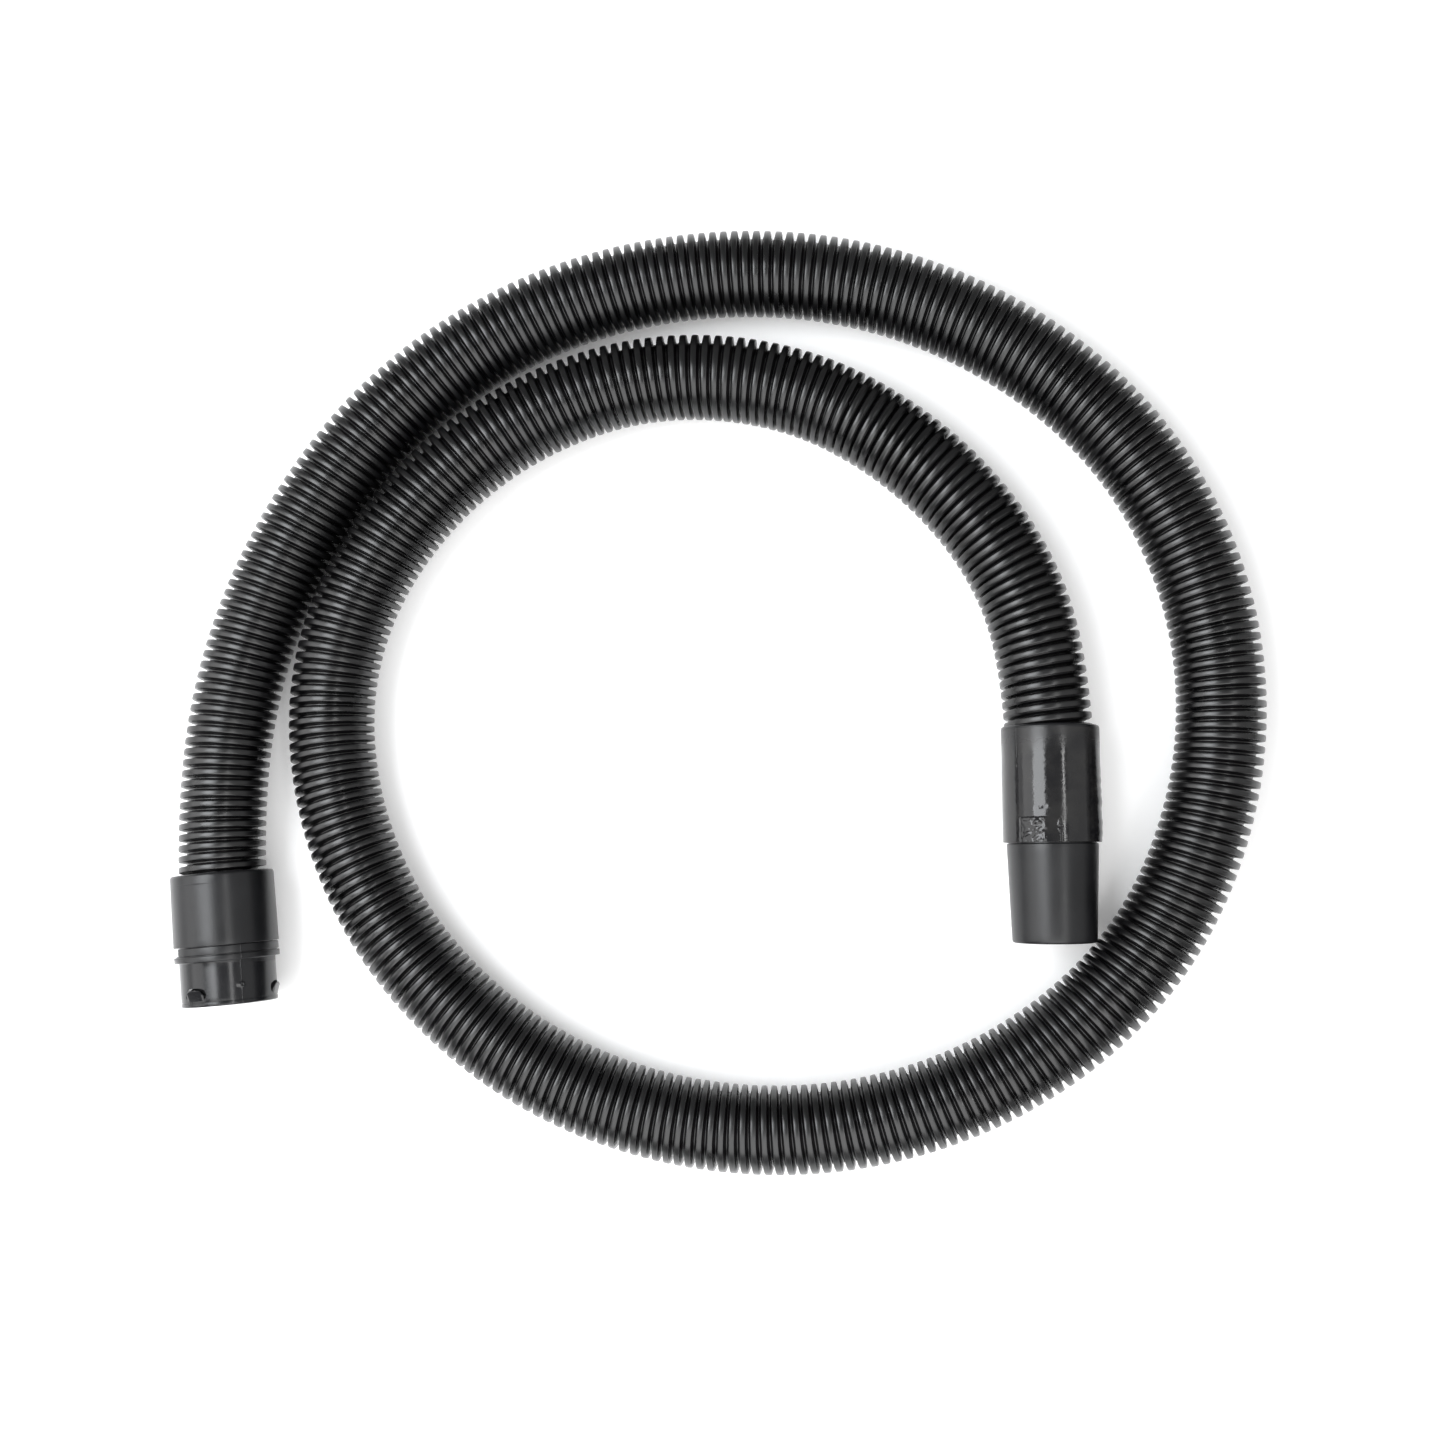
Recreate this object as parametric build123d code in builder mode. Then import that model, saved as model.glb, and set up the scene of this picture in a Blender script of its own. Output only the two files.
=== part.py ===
from build123d import *
from math import cos, pi, radians, sin, sqrt, tan
import os

# A wet/dry vacuum hose lying on a floor, with a swivel cuff at each end. Millimetres and degrees.
# The floor is z = 0. The origin is on the floor, midway between the two cuffs. +Z is up.
# Along a cuff, a "station" is the distance from the sleeve's entry edge towards the cuff's mouth.

# ---- driving dimensions ----

hose_od = 47.6                  # over the crests of the rib, nominal 1-7/8 in
hose_wall_section = 228.0       # square millimetres of plastic in a section of the corrugated wall
rib_pitch = 5.85
rib_depth = 4.6
floor_gap = 0.1                 # the hose's envelope stays this far above the floor

machine_entry = (-230.34, -2.43)  # where the hose enters the machine-end sleeve, seen from above
machine_lean = 5.3              # turn of the cuff's axis from -Y towards +X
machine_sleeve_r = 28.5
machine_sleeve_length = 40.0
machine_hose_depth = 25.0       # how far the hose is screwed in
spigot_r = 26.0
spigot_bore_r = 23.4
machine_length = 72.8           # from the entry edge to the mouth

tool_entry = (231.36, 77.07)
tool_lean = 0.4
tool_sleeve_r = 26.4
tool_sleeve_length = 63.0
tool_hose_depth = 38.0
nozzle_base_r = 24.6
nozzle_tip_r = 22.6
nozzle_bore_r = 20.4
tool_length = 117.0

running_gap = 0.05              # radial clearance of each turning neck in its sleeve
ring_gap = 0.2                  # clearance round each retaining ring
sleeve_stop = 2.0               # thickness of the inner shoulder that the hose stops against
stop_bore_r = 20.2
seal_thickness = 1.1
seal_bore_gap = 0.3             # the seal's hole is this much wider in radius than the stop's
seal_rim_gap = 0.2              # and its rim this much smaller than the socket
hose_clearance = 0.25           # radial clearance of the hose's crests in a sleeve
thread_turns = 1.5              # of the rib inside each sleeve that holds the hose
thread_start = 4.0              # station where that rib begins
thread_root_width = 2.4
thread_crest_width = 1.2
thread_crest_gap = 1.2          # between the rib's crest and the bottom of the hose's valley
neck_end_gap = 0.1              # between each neck's end and its seal
entry_round = 1.6               # outer edge of each sleeve's entry

# The hose's route across the floor, from the machine-end cuff to the tool-end cuff.
route = [
    (-226, 107), (-195, 190), (-138, 266), (-58, 317), (34, 339), (129, 332),
    (216, 294), (285, 229), (323, 142), (324, 47), (288, -43), (218, -107),
    (129, -141), (34, -142), (-55, -111), (-127, -49), (-166, 29), (-173, 110),
    (-144, 184), (-82, 244), (2, 280), (90, 273), (160, 233), (210, 174),
]
machine_rise = [2.4, 0.6]       # lift of the first two route points, on the way up into the cuff
tool_rise = [0.4, 1.4]          # lift of the last two
machine_lead = 24.0             # straight hose outside the machine-end sleeve
tool_lead = 30.0
arc_share = 0.45                # part of the shorter run that each arc's tangent takes


# ---- frames of the two cuffs ----

def cuff_direction(lean):
    """Unit vector from the hose towards the cuff's mouth."""
    return Vector(sin(radians(lean)), -cos(radians(lean)), 0)


def section_plane(entry, direction, height):
    """Plane through the cuff's axis: local x is the radius, upwards, and local y is the station."""
    up = Vector(0, 0, 1)
    return Plane(origin=(*entry, height), x_dir=up, z_dir=up.cross(direction))


machine_direction = cuff_direction(machine_lean)
machine_section = section_plane(machine_entry, machine_direction, machine_sleeve_r)
machine_axis = Axis(machine_section.origin, machine_direction)

tool_direction = cuff_direction(tool_lean)
tool_section = section_plane(tool_entry, tool_direction, tool_sleeve_r)
tool_axis = Axis(tool_section.origin, tool_direction)


def station_plane(section, station):
    """Plane square to the cuff's axis at a station, local x upwards, facing the mouth."""
    return Plane(origin=section.from_local_coords((0, station, 0)), x_dir=section.x_dir, z_dir=section.y_dir)


def turned_section(section, angle):
    """The section plane turned about the cuff's axis, from the top towards -X."""
    axis = Axis(section.origin, section.y_dir)
    turned_up = section.x_dir.rotate(axis, angle)
    return Plane(origin=section.origin, x_dir=turned_up, z_dir=turned_up.cross(section.y_dir))


def retaining_ring(section, inner_r, outer_r, start, end, split=7.0):
    """A split ring of flat section, its gap at the bottom."""
    with BuildPart() as ring:
        with BuildSketch(station_plane(section, start)):
            Circle(outer_r)
            Circle(inner_r, mode=Mode.SUBTRACT)
            with Locations((-(inner_r + outer_r) / 2, 0)):
                Rectangle(outer_r, split, mode=Mode.SUBTRACT)
        extrude(amount=end - start)
    return ring


def seal_ring(section, inner_r, outer_r, start):
    """A flat seal against the sleeve's inner shoulder."""
    with BuildPart() as ring:
        with BuildSketch(station_plane(section, start)):
            Circle(outer_r)
            Circle(inner_r, mode=Mode.SUBTRACT)
        extrude(amount=seal_thickness)
    return ring


# ---- the hose: a plain tube that stands for the corrugated wall ----

hose_r = hose_od / 2
hose_z = hose_r + floor_gap
plain_bore_r = sqrt(hose_r**2 - hose_wall_section / pi)


def hose_path_points():
    """The route with its lead-ins: from inside one sleeve, over the floor, to inside the other."""
    heights = [hose_z] * len(route)
    for i, rise in enumerate(machine_rise):
        heights[i] += rise
    for i, rise in enumerate(reversed(tool_rise)):
        heights[-1 - i] += rise
    machine_start = machine_section.from_local_coords((0, machine_hose_depth, 0))
    machine_turn = machine_section.from_local_coords((0, -machine_lead, 0))
    tool_turn = tool_section.from_local_coords((0, -tool_lead, 0))
    tool_end = tool_section.from_local_coords((0, tool_hose_depth, 0))
    laid = [Vector(x, y, z) for (x, y), z in zip(route, heights)]
    return [machine_start, machine_turn, *laid, tool_turn, tool_end]


def arc_radii(points):
    """The largest arc that each corner's two runs allow."""
    radii = []
    for before, corner, after in zip(points, points[1:], points[2:]):
        turn = (corner - before).get_angle(after - corner)
        shorter = min((corner - before).length, (after - corner).length)
        radii.append(arc_share * shorter / tan(radians(turn) / 2))
    return radii


path_points = hose_path_points()
path_radii = arc_radii(path_points)

with BuildPart() as corrugated_hose:
    with BuildLine() as hose_line:
        FilletPolyline(*path_points, radius=path_radii)
    with BuildSketch(Plane(origin=path_points[0], z_dir=path_points[1] - path_points[0])):
        Circle(hose_r)
        Circle(plain_bore_r, mode=Mode.SUBTRACT)
    sweep(path=hose_line.line)

# ---- machine end ----

thread_root_r = hose_r + hose_clearance
thread_crest_r = hose_r - rib_depth + thread_crest_gap


def thread_rib(section):
    """The sleeve's inner left-hand rib, which lies in the valley of the hose's helix."""
    start_point = section.from_local_coords((0, thread_start, 0))
    root_half = thread_root_width / 2
    crest_half = thread_crest_width / 2
    height = thread_root_r - thread_crest_r
    overlap = 0.3               # the rib's root runs into the sleeve's wall
    with BuildPart() as rib:
        with BuildLine(Plane.XY) as helix:
            Helix(
                pitch=rib_pitch,
                height=thread_turns * rib_pitch,
                radius=thread_root_r,
                center=start_point,
                direction=section.y_dir,
                lefthand=True,
            )
        first = helix.line @ 0
        outward = (first - start_point).normalized()
        with BuildSketch(Plane(origin=first, x_dir=outward, z_dir=helix.line % 0)):
            Polygon(
                (overlap, -root_half),
                (overlap, root_half),
                (-height, crest_half),
                (-height, -crest_half),
                align=None,
            )
        sweep(path=helix.line, is_frenet=True)
    return rib


machine_socket_r = 25.2
machine_ring_start = 31.2
machine_ring_end = 32.8
machine_socket_groove = 1.4     # depth of the ring's groove in the sleeve
machine_neck_groove = 1.3       # and in the connector's neck
machine_draft = 0.4             # the sleeve is this much smaller in radius at its entry
machine_entry_chamfer = 1.0
machine_stop = machine_hose_depth + sleeve_stop

with BuildPart() as machine_sleeve:
    with BuildSketch(machine_section):
        Polygon(
            (thread_root_r, 0),
            (machine_sleeve_r - machine_draft, 0),
            (machine_sleeve_r, machine_sleeve_length),
            (machine_socket_r, machine_sleeve_length),
            (machine_socket_r, machine_ring_end + ring_gap),
            (machine_socket_r + machine_socket_groove, machine_ring_end + ring_gap),
            (machine_socket_r + machine_socket_groove, machine_ring_start - ring_gap),
            (machine_socket_r, machine_ring_start - ring_gap),
            (machine_socket_r, machine_stop),
            (stop_bore_r, machine_stop),
            (stop_bore_r, machine_hose_depth),
            (thread_root_r, machine_hose_depth),
            align=None,
        )
    revolve(axis=machine_axis)
    entry_edges = machine_sleeve.edges().filter_by(GeomType.CIRCLE).group_by(machine_axis)[0]
    fillet(entry_edges.sort_by(SortBy.RADIUS)[-1], radius=entry_round)
    chamfer(entry_edges.sort_by(SortBy.RADIUS)[0], length=machine_entry_chamfer)
    add(thread_rib(machine_section).part)
machine_sleeve.part.label = "machine_sleeve"

neck_r = machine_socket_r - running_gap
neck_groove_r = neck_r - machine_neck_groove
neck_start = machine_stop + seal_thickness + neck_end_gap
neck_bore_r = 21.4
collar_r = 28.1
collar_start = machine_sleeve_length + 0.4
collar_end = 44.6
flange_start = 45.2
flange_end = 48.4
collar_groove_r = 27.2          # between the collar and the flange
bore_step = 4.0                 # length of the cone between the neck's bore and the spigot's
bead_start = 70.6
bead_height = 0.1
bead_groove_width = 0.5
bead_groove_depth = 0.4
mouth_round = 0.9
notch_angle = 66                # the middle of the collar's notch, from the top towards -X
notch_span = 46
notch_floor_r = neck_r + 0.3
finger_angles = [24, 144, 264]  # measured in the same way
finger_span = 27                # degrees round the cuff
finger_station = 65.9           # the middle of each window
window_width = 15.0
window_length = 7.2
window_corner = 3.2
finger_proud = 1.4              # of the spigot, at the finger's free end
finger_recess = 1.0             # below the spigot, at its root
finger_thickness = 2.8          # at the free end
finger_tip = 2.2                # the free end's distance from the window's middle
finger_flat = 0.6               # length of the free end's flat top
root_overlap = 0.6              # the finger's root runs into the spigot
root_slope = 1.0                # where the finger's underside meets the bore

with BuildPart() as machine_connector:
    with BuildSketch(machine_section):
        Polygon(
            (neck_bore_r, neck_start),
            (neck_r, neck_start),
            (neck_r, machine_ring_start - ring_gap / 2),
            (neck_groove_r, machine_ring_start - ring_gap / 2),
            (neck_groove_r, machine_ring_end + ring_gap / 2),
            (neck_r, machine_ring_end + ring_gap / 2),
            (neck_r, collar_start),
            (collar_r, collar_start),
            (collar_r, collar_end),
            (collar_groove_r, collar_end),
            (collar_groove_r, flange_start),
            (machine_sleeve_r, flange_start),
            (machine_sleeve_r, flange_end),
            (spigot_r, flange_end),
            (spigot_r, bead_start - bead_groove_width),
            (spigot_r - bead_groove_depth, bead_start - bead_groove_width),
            (spigot_r - bead_groove_depth, bead_start),
            (spigot_r + bead_height, bead_start),
            (spigot_r + bead_height, machine_length),
            (spigot_bore_r, machine_length),
            (spigot_bore_r, collar_end + bore_step / 2),
            (neck_bore_r, collar_end - bore_step / 2),
            align=None,
        )
    revolve(axis=machine_axis)
    mouth_edges = machine_connector.edges().filter_by(GeomType.CIRCLE).group_by(machine_axis)[-1]
    fillet(mouth_edges, radius=mouth_round)

    # the notch in the collar, almost down to the neck
    with BuildSketch(station_plane(machine_section, collar_start)):
        Circle(collar_r + 1)
        Circle(notch_floor_r, mode=Mode.SUBTRACT)
        far = 2 * collar_r
        notch_sides = [notch_angle - notch_span / 2, notch_angle + notch_span / 2]
        corners = [(far * cos(radians(a)), far * sin(radians(a))) for a in notch_sides]
        Polygon((0, 0), *corners, align=None, mode=Mode.INTERSECT)
    extrude(amount=collar_end - collar_start, mode=Mode.SUBTRACT)

    # three windows near the mouth, each with a snap finger rooted at its mouth side
    finger_r = spigot_r + finger_proud
    free_end = finger_station - finger_tip
    root_end = finger_station + window_length / 2 + root_overlap
    for angle in finger_angles:
        finger_plane = turned_section(machine_section, angle)
        window_plane = Plane(
            origin=finger_plane.from_local_coords((0, finger_station, 0)),
            x_dir=finger_plane.z_dir,
            z_dir=finger_plane.x_dir,
        )
        with BuildSketch(window_plane):
            RectangleRounded(window_width, window_length, radius=window_corner)
        extrude(amount=collar_r, mode=Mode.SUBTRACT)
        with BuildSketch(turned_section(machine_section, angle - finger_span / 2)):
            Polygon(
                (spigot_bore_r, root_end),
                (spigot_r - finger_recess, root_end),
                (finger_r, free_end + finger_flat),
                (finger_r, free_end),
                (finger_r - finger_thickness, free_end),
                (spigot_bore_r, finger_station + root_slope),
                align=None,
            )
        revolve(axis=machine_axis, revolution_arc=finger_span)
machine_connector.part.label = "machine_connector"

machine_retaining_ring = retaining_ring(
    machine_section,
    neck_groove_r + ring_gap / 2,
    machine_socket_r + machine_socket_groove - ring_gap,
    machine_ring_start,
    machine_ring_end,
)
machine_retaining_ring.part.label = "machine_retaining_ring"

machine_seal = seal_ring(
    machine_section,
    stop_bore_r + seal_bore_gap,
    machine_socket_r - seal_rim_gap,
    machine_stop,
)
machine_seal.part.label = "machine_seal"

# ---- tool end ----

tool_socket_r = 23.6
tool_ring_start = 46.4
tool_ring_end = 48.0
tool_groove = 1.1               # depth of the ring's groove in the sleeve and in the nozzle's neck
tool_stop = tool_hose_depth + sleeve_stop
tool_entry_chamfer = 0.8
tape_start = 2.0                # the film runs from here to the sleeve's end
tape_seat_r = tool_sleeve_r - 0.25
tape_inner_r = tape_seat_r + 0.01
tape_end_gap = 0.1              # from the lip at its start, and back from the sleeve's end

with BuildPart() as tool_sleeve:
    with BuildSketch(tool_section):
        Polygon(
            (thread_root_r, 0),
            (tool_sleeve_r, 0),
            (tool_sleeve_r, tape_start),
            (tape_seat_r, tape_start),
            (tape_seat_r, tool_sleeve_length),
            (tool_socket_r, tool_sleeve_length),
            (tool_socket_r, tool_ring_end + ring_gap),
            (tool_socket_r + tool_groove, tool_ring_end + ring_gap),
            (tool_socket_r + tool_groove, tool_ring_start - ring_gap),
            (tool_socket_r, tool_ring_start - ring_gap),
            (tool_socket_r, tool_stop),
            (stop_bore_r, tool_stop),
            (stop_bore_r, tool_hose_depth),
            (thread_root_r, tool_hose_depth),
            align=None,
        )
    revolve(axis=tool_axis)
    entry_edges = tool_sleeve.edges().filter_by(GeomType.CIRCLE).group_by(tool_axis)[0]
    fillet(entry_edges.sort_by(SortBy.RADIUS)[-1], radius=entry_round)
    chamfer(entry_edges.sort_by(SortBy.RADIUS)[0], length=tool_entry_chamfer)
    add(thread_rib(tool_section).part)
tool_sleeve.part.label = "tool_sleeve"

with BuildPart() as tape_wrap:
    with BuildSketch(station_plane(tool_section, tape_start + tape_end_gap)):
        Circle(tool_sleeve_r)
        Circle(tape_inner_r, mode=Mode.SUBTRACT)
    extrude(amount=tool_sleeve_length - tape_start - 2 * tape_end_gap)
tape_wrap.part.label = "tape_wrap"

nozzle_neck_r = tool_socket_r - running_gap
nozzle_groove_r = nozzle_neck_r - tool_groove
nozzle_neck_start = tool_stop + seal_thickness + neck_end_gap
nozzle_shoulder = tool_sleeve_length + 0.6
tip_round = 1.4
tip_inner_round = 0.6

with BuildPart() as tool_nozzle:
    with BuildSketch(tool_section):
        Polygon(
            (nozzle_bore_r, nozzle_neck_start),
            (nozzle_neck_r, nozzle_neck_start),
            (nozzle_neck_r, tool_ring_start - ring_gap / 2),
            (nozzle_groove_r, tool_ring_start - ring_gap / 2),
            (nozzle_groove_r, tool_ring_end + ring_gap / 2),
            (nozzle_neck_r, tool_ring_end + ring_gap / 2),
            (nozzle_neck_r, nozzle_shoulder),
            (nozzle_base_r, nozzle_shoulder),
            (nozzle_tip_r, tool_length),
            (nozzle_bore_r, tool_length),
            align=None,
        )
    revolve(axis=tool_axis)
    tip_edges = tool_nozzle.edges().filter_by(GeomType.CIRCLE).group_by(tool_axis)[-1]
    fillet(tip_edges.sort_by(SortBy.RADIUS)[-1], radius=tip_round)
    fillet(tip_edges.sort_by(SortBy.RADIUS)[0], radius=tip_inner_round)
tool_nozzle.part.label = "tool_nozzle"

tool_retaining_ring = retaining_ring(
    tool_section,
    nozzle_groove_r + ring_gap / 2,
    tool_socket_r + tool_groove - ring_gap,
    tool_ring_start,
    tool_ring_end,
)
tool_retaining_ring.part.label = "tool_retaining_ring"

tool_seal = seal_ring(
    tool_section,
    stop_bore_r + seal_bore_gap,
    tool_socket_r - seal_rim_gap,
    tool_stop,
)
tool_seal.part.label = "tool_seal"

corrugated_hose.part.label = "corrugated_hose"

# ---- export ----

pieces = [
    corrugated_hose,
    machine_sleeve, machine_connector, machine_retaining_ring, machine_seal,
    tool_sleeve, tool_nozzle, tool_retaining_ring, tool_seal, tape_wrap,
]
os.makedirs("parts", exist_ok=True)
for piece in pieces:
    export_step(piece.part, f"parts/{piece.part.label}.step")

hose_length = sum(edge.length for edge in hose_line.edges())
plain_volume = hose_length * hose_wall_section
print("arc radii", [round(r) for r in path_radii])
print(f"hose length {hose_length:.0f} mm, volume {corrugated_hose.part.volume:.0f} against {plain_volume:.0f} mm3")
cuffs = Compound([piece.part for piece in pieces[1:]]).bounding_box()
print("cuffs from", cuffs.min, "to", cuffs.max, "centre", cuffs.center())
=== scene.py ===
from math import cos, exp, pi, radians, sin

import bmesh
import bpy
import numpy as np
from mathutils import Matrix, Vector, noise


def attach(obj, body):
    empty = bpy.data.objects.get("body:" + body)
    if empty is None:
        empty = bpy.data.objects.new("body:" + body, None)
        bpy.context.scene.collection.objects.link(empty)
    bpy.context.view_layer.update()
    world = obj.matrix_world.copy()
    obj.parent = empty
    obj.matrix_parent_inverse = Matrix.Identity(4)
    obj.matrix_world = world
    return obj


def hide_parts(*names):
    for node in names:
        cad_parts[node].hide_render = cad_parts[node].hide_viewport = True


# The visual model of the vacuum hose: one corrugated hose on the floor, and the swivel cuff at
# each end. Lengths are in millimetres up to the point where a mesh or curve is made, in metres.
# Along a cuff, a "station" is the distance from the sleeve's entry edge towards the cuff's mouth,
# and angles go round the cuff in degrees, from the top towards -X.

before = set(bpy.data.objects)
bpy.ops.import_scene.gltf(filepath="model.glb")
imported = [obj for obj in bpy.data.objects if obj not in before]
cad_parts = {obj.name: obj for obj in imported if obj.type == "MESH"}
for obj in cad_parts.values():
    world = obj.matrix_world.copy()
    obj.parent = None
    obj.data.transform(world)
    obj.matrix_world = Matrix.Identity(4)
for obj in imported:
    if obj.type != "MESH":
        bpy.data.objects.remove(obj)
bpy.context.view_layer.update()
MM = 0.001

# ---- sizes shared with the CAD model ----

HOSE_R = 23.8
RIB_PITCH = 5.85
RIB_DEPTH = 4.6
HOSE_Z = 23.9

HOSE_SOCKET_R = 24.05           # bore of both sleeves, round the hose
STOP_BORE_R = 20.2              # hole in the inner shoulder that the hose stops against
STOP_THICKNESS = 2.0

MACHINE_ENTRY = (-230.34, -2.43, 28.5)
MACHINE_LEAN = 5.3              # turn of the cuff's axis from -Y towards +X
MACHINE_HOSE_DEPTH = 25.0       # how far the hose is screwed in
MACHINE_LEAD = 24.0             # straight hose outside the sleeve
MACHINE_SLEEVE_R = 28.5
MACHINE_SLEEVE_LENGTH = 40.0
MACHINE_SOCKET_R = 25.2
MACHINE_LENGTH = 72.8

TOOL_ENTRY = (231.36, 77.07, 26.4)
TOOL_LEAN = 0.4
TOOL_HOSE_DEPTH = 38.0
TOOL_LEAD = 30.0
TOOL_SLEEVE_R = 26.4
TOOL_SLEEVE_LENGTH = 63.0
TOOL_SOCKET_R = 23.6
TOOL_LENGTH = 117.0

# The hose's route across the floor, seen from above: the CAD model's, with one point of its inner
# turn, the fifth from the end, moved 2 mm towards the outer turn.
ROUTE = [
    (-226, 107), (-195, 190), (-138, 266), (-58, 317), (34, 339), (129, 332),
    (216, 294), (285, 229), (323, 142), (324, 47), (288, -43), (218, -107),
    (129, -141), (34, -142), (-55, -111), (-127, -49), (-166, 29), (-173, 110),
    (-144, 184), (-83, 246), (2, 280), (90, 273), (160, 233), (210, 174),
]
MACHINE_RISE = [2.4, 0.6]       # lift of the first two route points, on the way up into the cuff
TOOL_RISE = [0.4, 1.4]          # lift of the last two


# ---- frames of the cuffs ----

def cuff_frame(entry, lean):
    """Local z runs along the cuff to its mouth, local x is up, and local y points towards -X."""
    mouth = Vector((sin(radians(lean)), -cos(radians(lean)), 0))
    up = Vector((0, 0, 1))
    side = mouth.cross(up)
    turn = Matrix((up, side, mouth)).transposed()
    return Matrix.Translation(Vector(entry)) @ turn.to_4x4()


MACHINE = cuff_frame(MACHINE_ENTRY, MACHINE_LEAN)
TOOL = cuff_frame(TOOL_ENTRY, TOOL_LEAN)


def on_axis(cuff, station):
    """The point on a cuff's axis at a station, in millimetres."""
    return cuff @ Vector((0, 0, station))


# ---- materials ----

# nearly all of a noise texture's values lie between the first two
NOISE_LOW, NOISE_HIGH = 0.3, 0.7
RAMP_DARK, RAMP_LIGHT = 0.35, 0.7


def new_material(name):
    """A material, and the nodes and links of its tree."""
    material = bpy.data.materials.new(name)
    material.use_nodes = True
    return material, material.node_tree.nodes, material.node_tree.links


def add_noise(nodes, links, scale, detail=3.0, stretch=(1, 1, 1)):
    """Noise over the piece, in metres of the row frame."""
    place = nodes.new("ShaderNodeTexCoord")
    mapping = nodes.new("ShaderNodeMapping")
    mapping.inputs["Scale"].default_value = stretch
    texture = nodes.new("ShaderNodeTexNoise")
    texture.inputs["Scale"].default_value = scale
    texture.inputs["Detail"].default_value = detail
    links.new(place.outputs["Object"], mapping.inputs["Vector"])
    links.new(mapping.outputs["Vector"], texture.inputs["Vector"])
    return texture.outputs["Fac"]


def add_range(nodes, links, value, low, high):
    """Noise mapped to a range of numbers."""
    spread = nodes.new("ShaderNodeMapRange")
    spread.inputs["From Min"].default_value = NOISE_LOW
    spread.inputs["From Max"].default_value = NOISE_HIGH
    spread.inputs["To Min"].default_value = low
    spread.inputs["To Max"].default_value = high
    links.new(value, spread.inputs["Value"])
    return spread.outputs["Result"]


def add_ramp(nodes, links, value, dark, light):
    """Noise mapped between two colours."""
    ramp = nodes.new("ShaderNodeValToRGB")
    ramp.color_ramp.elements[0].position = RAMP_DARK
    ramp.color_ramp.elements[0].color = (*dark, 1)
    ramp.color_ramp.elements[1].position = RAMP_LIGHT
    ramp.color_ramp.elements[1].color = (*light, 1)
    links.new(value, ramp.inputs["Fac"])
    return ramp.outputs["Color"]


def add_bump(nodes, links, height, strength, distance):
    """Bump from a height, with its distance in metres."""
    bump = nodes.new("ShaderNodeBump")
    bump.inputs["Strength"].default_value = strength
    bump.inputs["Distance"].default_value = distance
    links.new(height, bump.inputs["Height"])
    return bump.outputs["Normal"]


def add_step_along_y(nodes, links, start, end, amount):
    """0 up to a place along the row frame's Y, in metres, rising to an amount at the next place."""
    place = nodes.new("ShaderNodeTexCoord")
    split = nodes.new("ShaderNodeSeparateXYZ")
    rise = nodes.new("ShaderNodeMapRange")
    rise.inputs["From Min"].default_value = start
    rise.inputs["From Max"].default_value = end
    rise.inputs["To Max"].default_value = amount
    links.new(place.outputs["Object"], split.inputs["Vector"])
    links.new(split.outputs["Y"], rise.inputs["Value"])
    return rise.outputs["Result"]


def add_sum(nodes, links, first, second):
    """The sum of two numbers."""
    total = nodes.new("ShaderNodeMath")
    total.operation = "ADD"
    links.new(first, total.inputs[0])
    links.new(second, total.inputs[1])
    return total.outputs["Value"]


def hose_material():
    """Blown black plastic: semi-gloss, with an uneven shine and a fine grain."""
    material, nodes, links = new_material("hose_plastic")
    shader = nodes["Principled BSDF"]
    patches = add_noise(nodes, links, scale=28, detail=4)
    grain = add_noise(nodes, links, scale=300, detail=2)
    colour = add_ramp(nodes, links, patches, dark=(0.0015, 0.0015, 0.0018), light=(0.0038, 0.0038, 0.0041))
    links.new(colour, shader.inputs["Base Color"])
    links.new(add_range(nodes, links, patches, low=0.25, high=0.36), shader.inputs["Roughness"])
    links.new(add_bump(nodes, links, grain, strength=0.06, distance=0.0001), shader.inputs["Normal"])
    shader.inputs["Specular IOR Level"].default_value = 0.55
    return material


def cuff_material(name, smoothest, roughest, matt_from=1.0):
    """Moulded black plastic: satin, with a faint flow pattern, and matter past a place along Y."""
    material, nodes, links = new_material(name)
    shader = nodes["Principled BSDF"]
    clouds = add_noise(nodes, links, scale=45, detail=4)
    grain = add_noise(nodes, links, scale=1600, detail=2)
    colour = add_ramp(nodes, links, clouds, dark=(0.0045, 0.0047, 0.0056), light=(0.008, 0.0082, 0.0094))
    links.new(colour, shader.inputs["Base Color"])
    satin = add_range(nodes, links, clouds, low=smoothest, high=roughest)
    matt = add_step_along_y(nodes, links, start=matt_from - 0.0005, end=matt_from, amount=0.13)
    links.new(add_sum(nodes, links, satin, matt), shader.inputs["Roughness"])
    links.new(add_bump(nodes, links, grain, strength=0.35, distance=0.0001), shader.inputs["Normal"])
    shader.inputs["Specular IOR Level"].default_value = 0.42
    return material


def tape_material():
    """Glossy black film, uneven from the air under it, and satin near the sleeve's entry."""
    material, nodes, links = new_material("tape_film")
    shader = nodes["Principled BSDF"]
    clouds = add_noise(nodes, links, scale=90, detail=5)
    bubbles = add_noise(nodes, links, scale=420, detail=4)
    colour = add_ramp(nodes, links, clouds, dark=(0.008, 0.008, 0.009), light=(0.016, 0.0155, 0.0155))
    links.new(colour, shader.inputs["Base Color"])
    gloss = add_range(nodes, links, clouds, low=0.07, high=0.17)
    satin = add_step_along_y(nodes, links, start=0.061, end=0.072, amount=0.2)
    links.new(add_sum(nodes, links, gloss, satin), shader.inputs["Roughness"])
    links.new(add_bump(nodes, links, bubbles, strength=0.22, distance=0.0003), shader.inputs["Normal"])
    shader.inputs["Specular IOR Level"].default_value = 0.42
    return material


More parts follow.
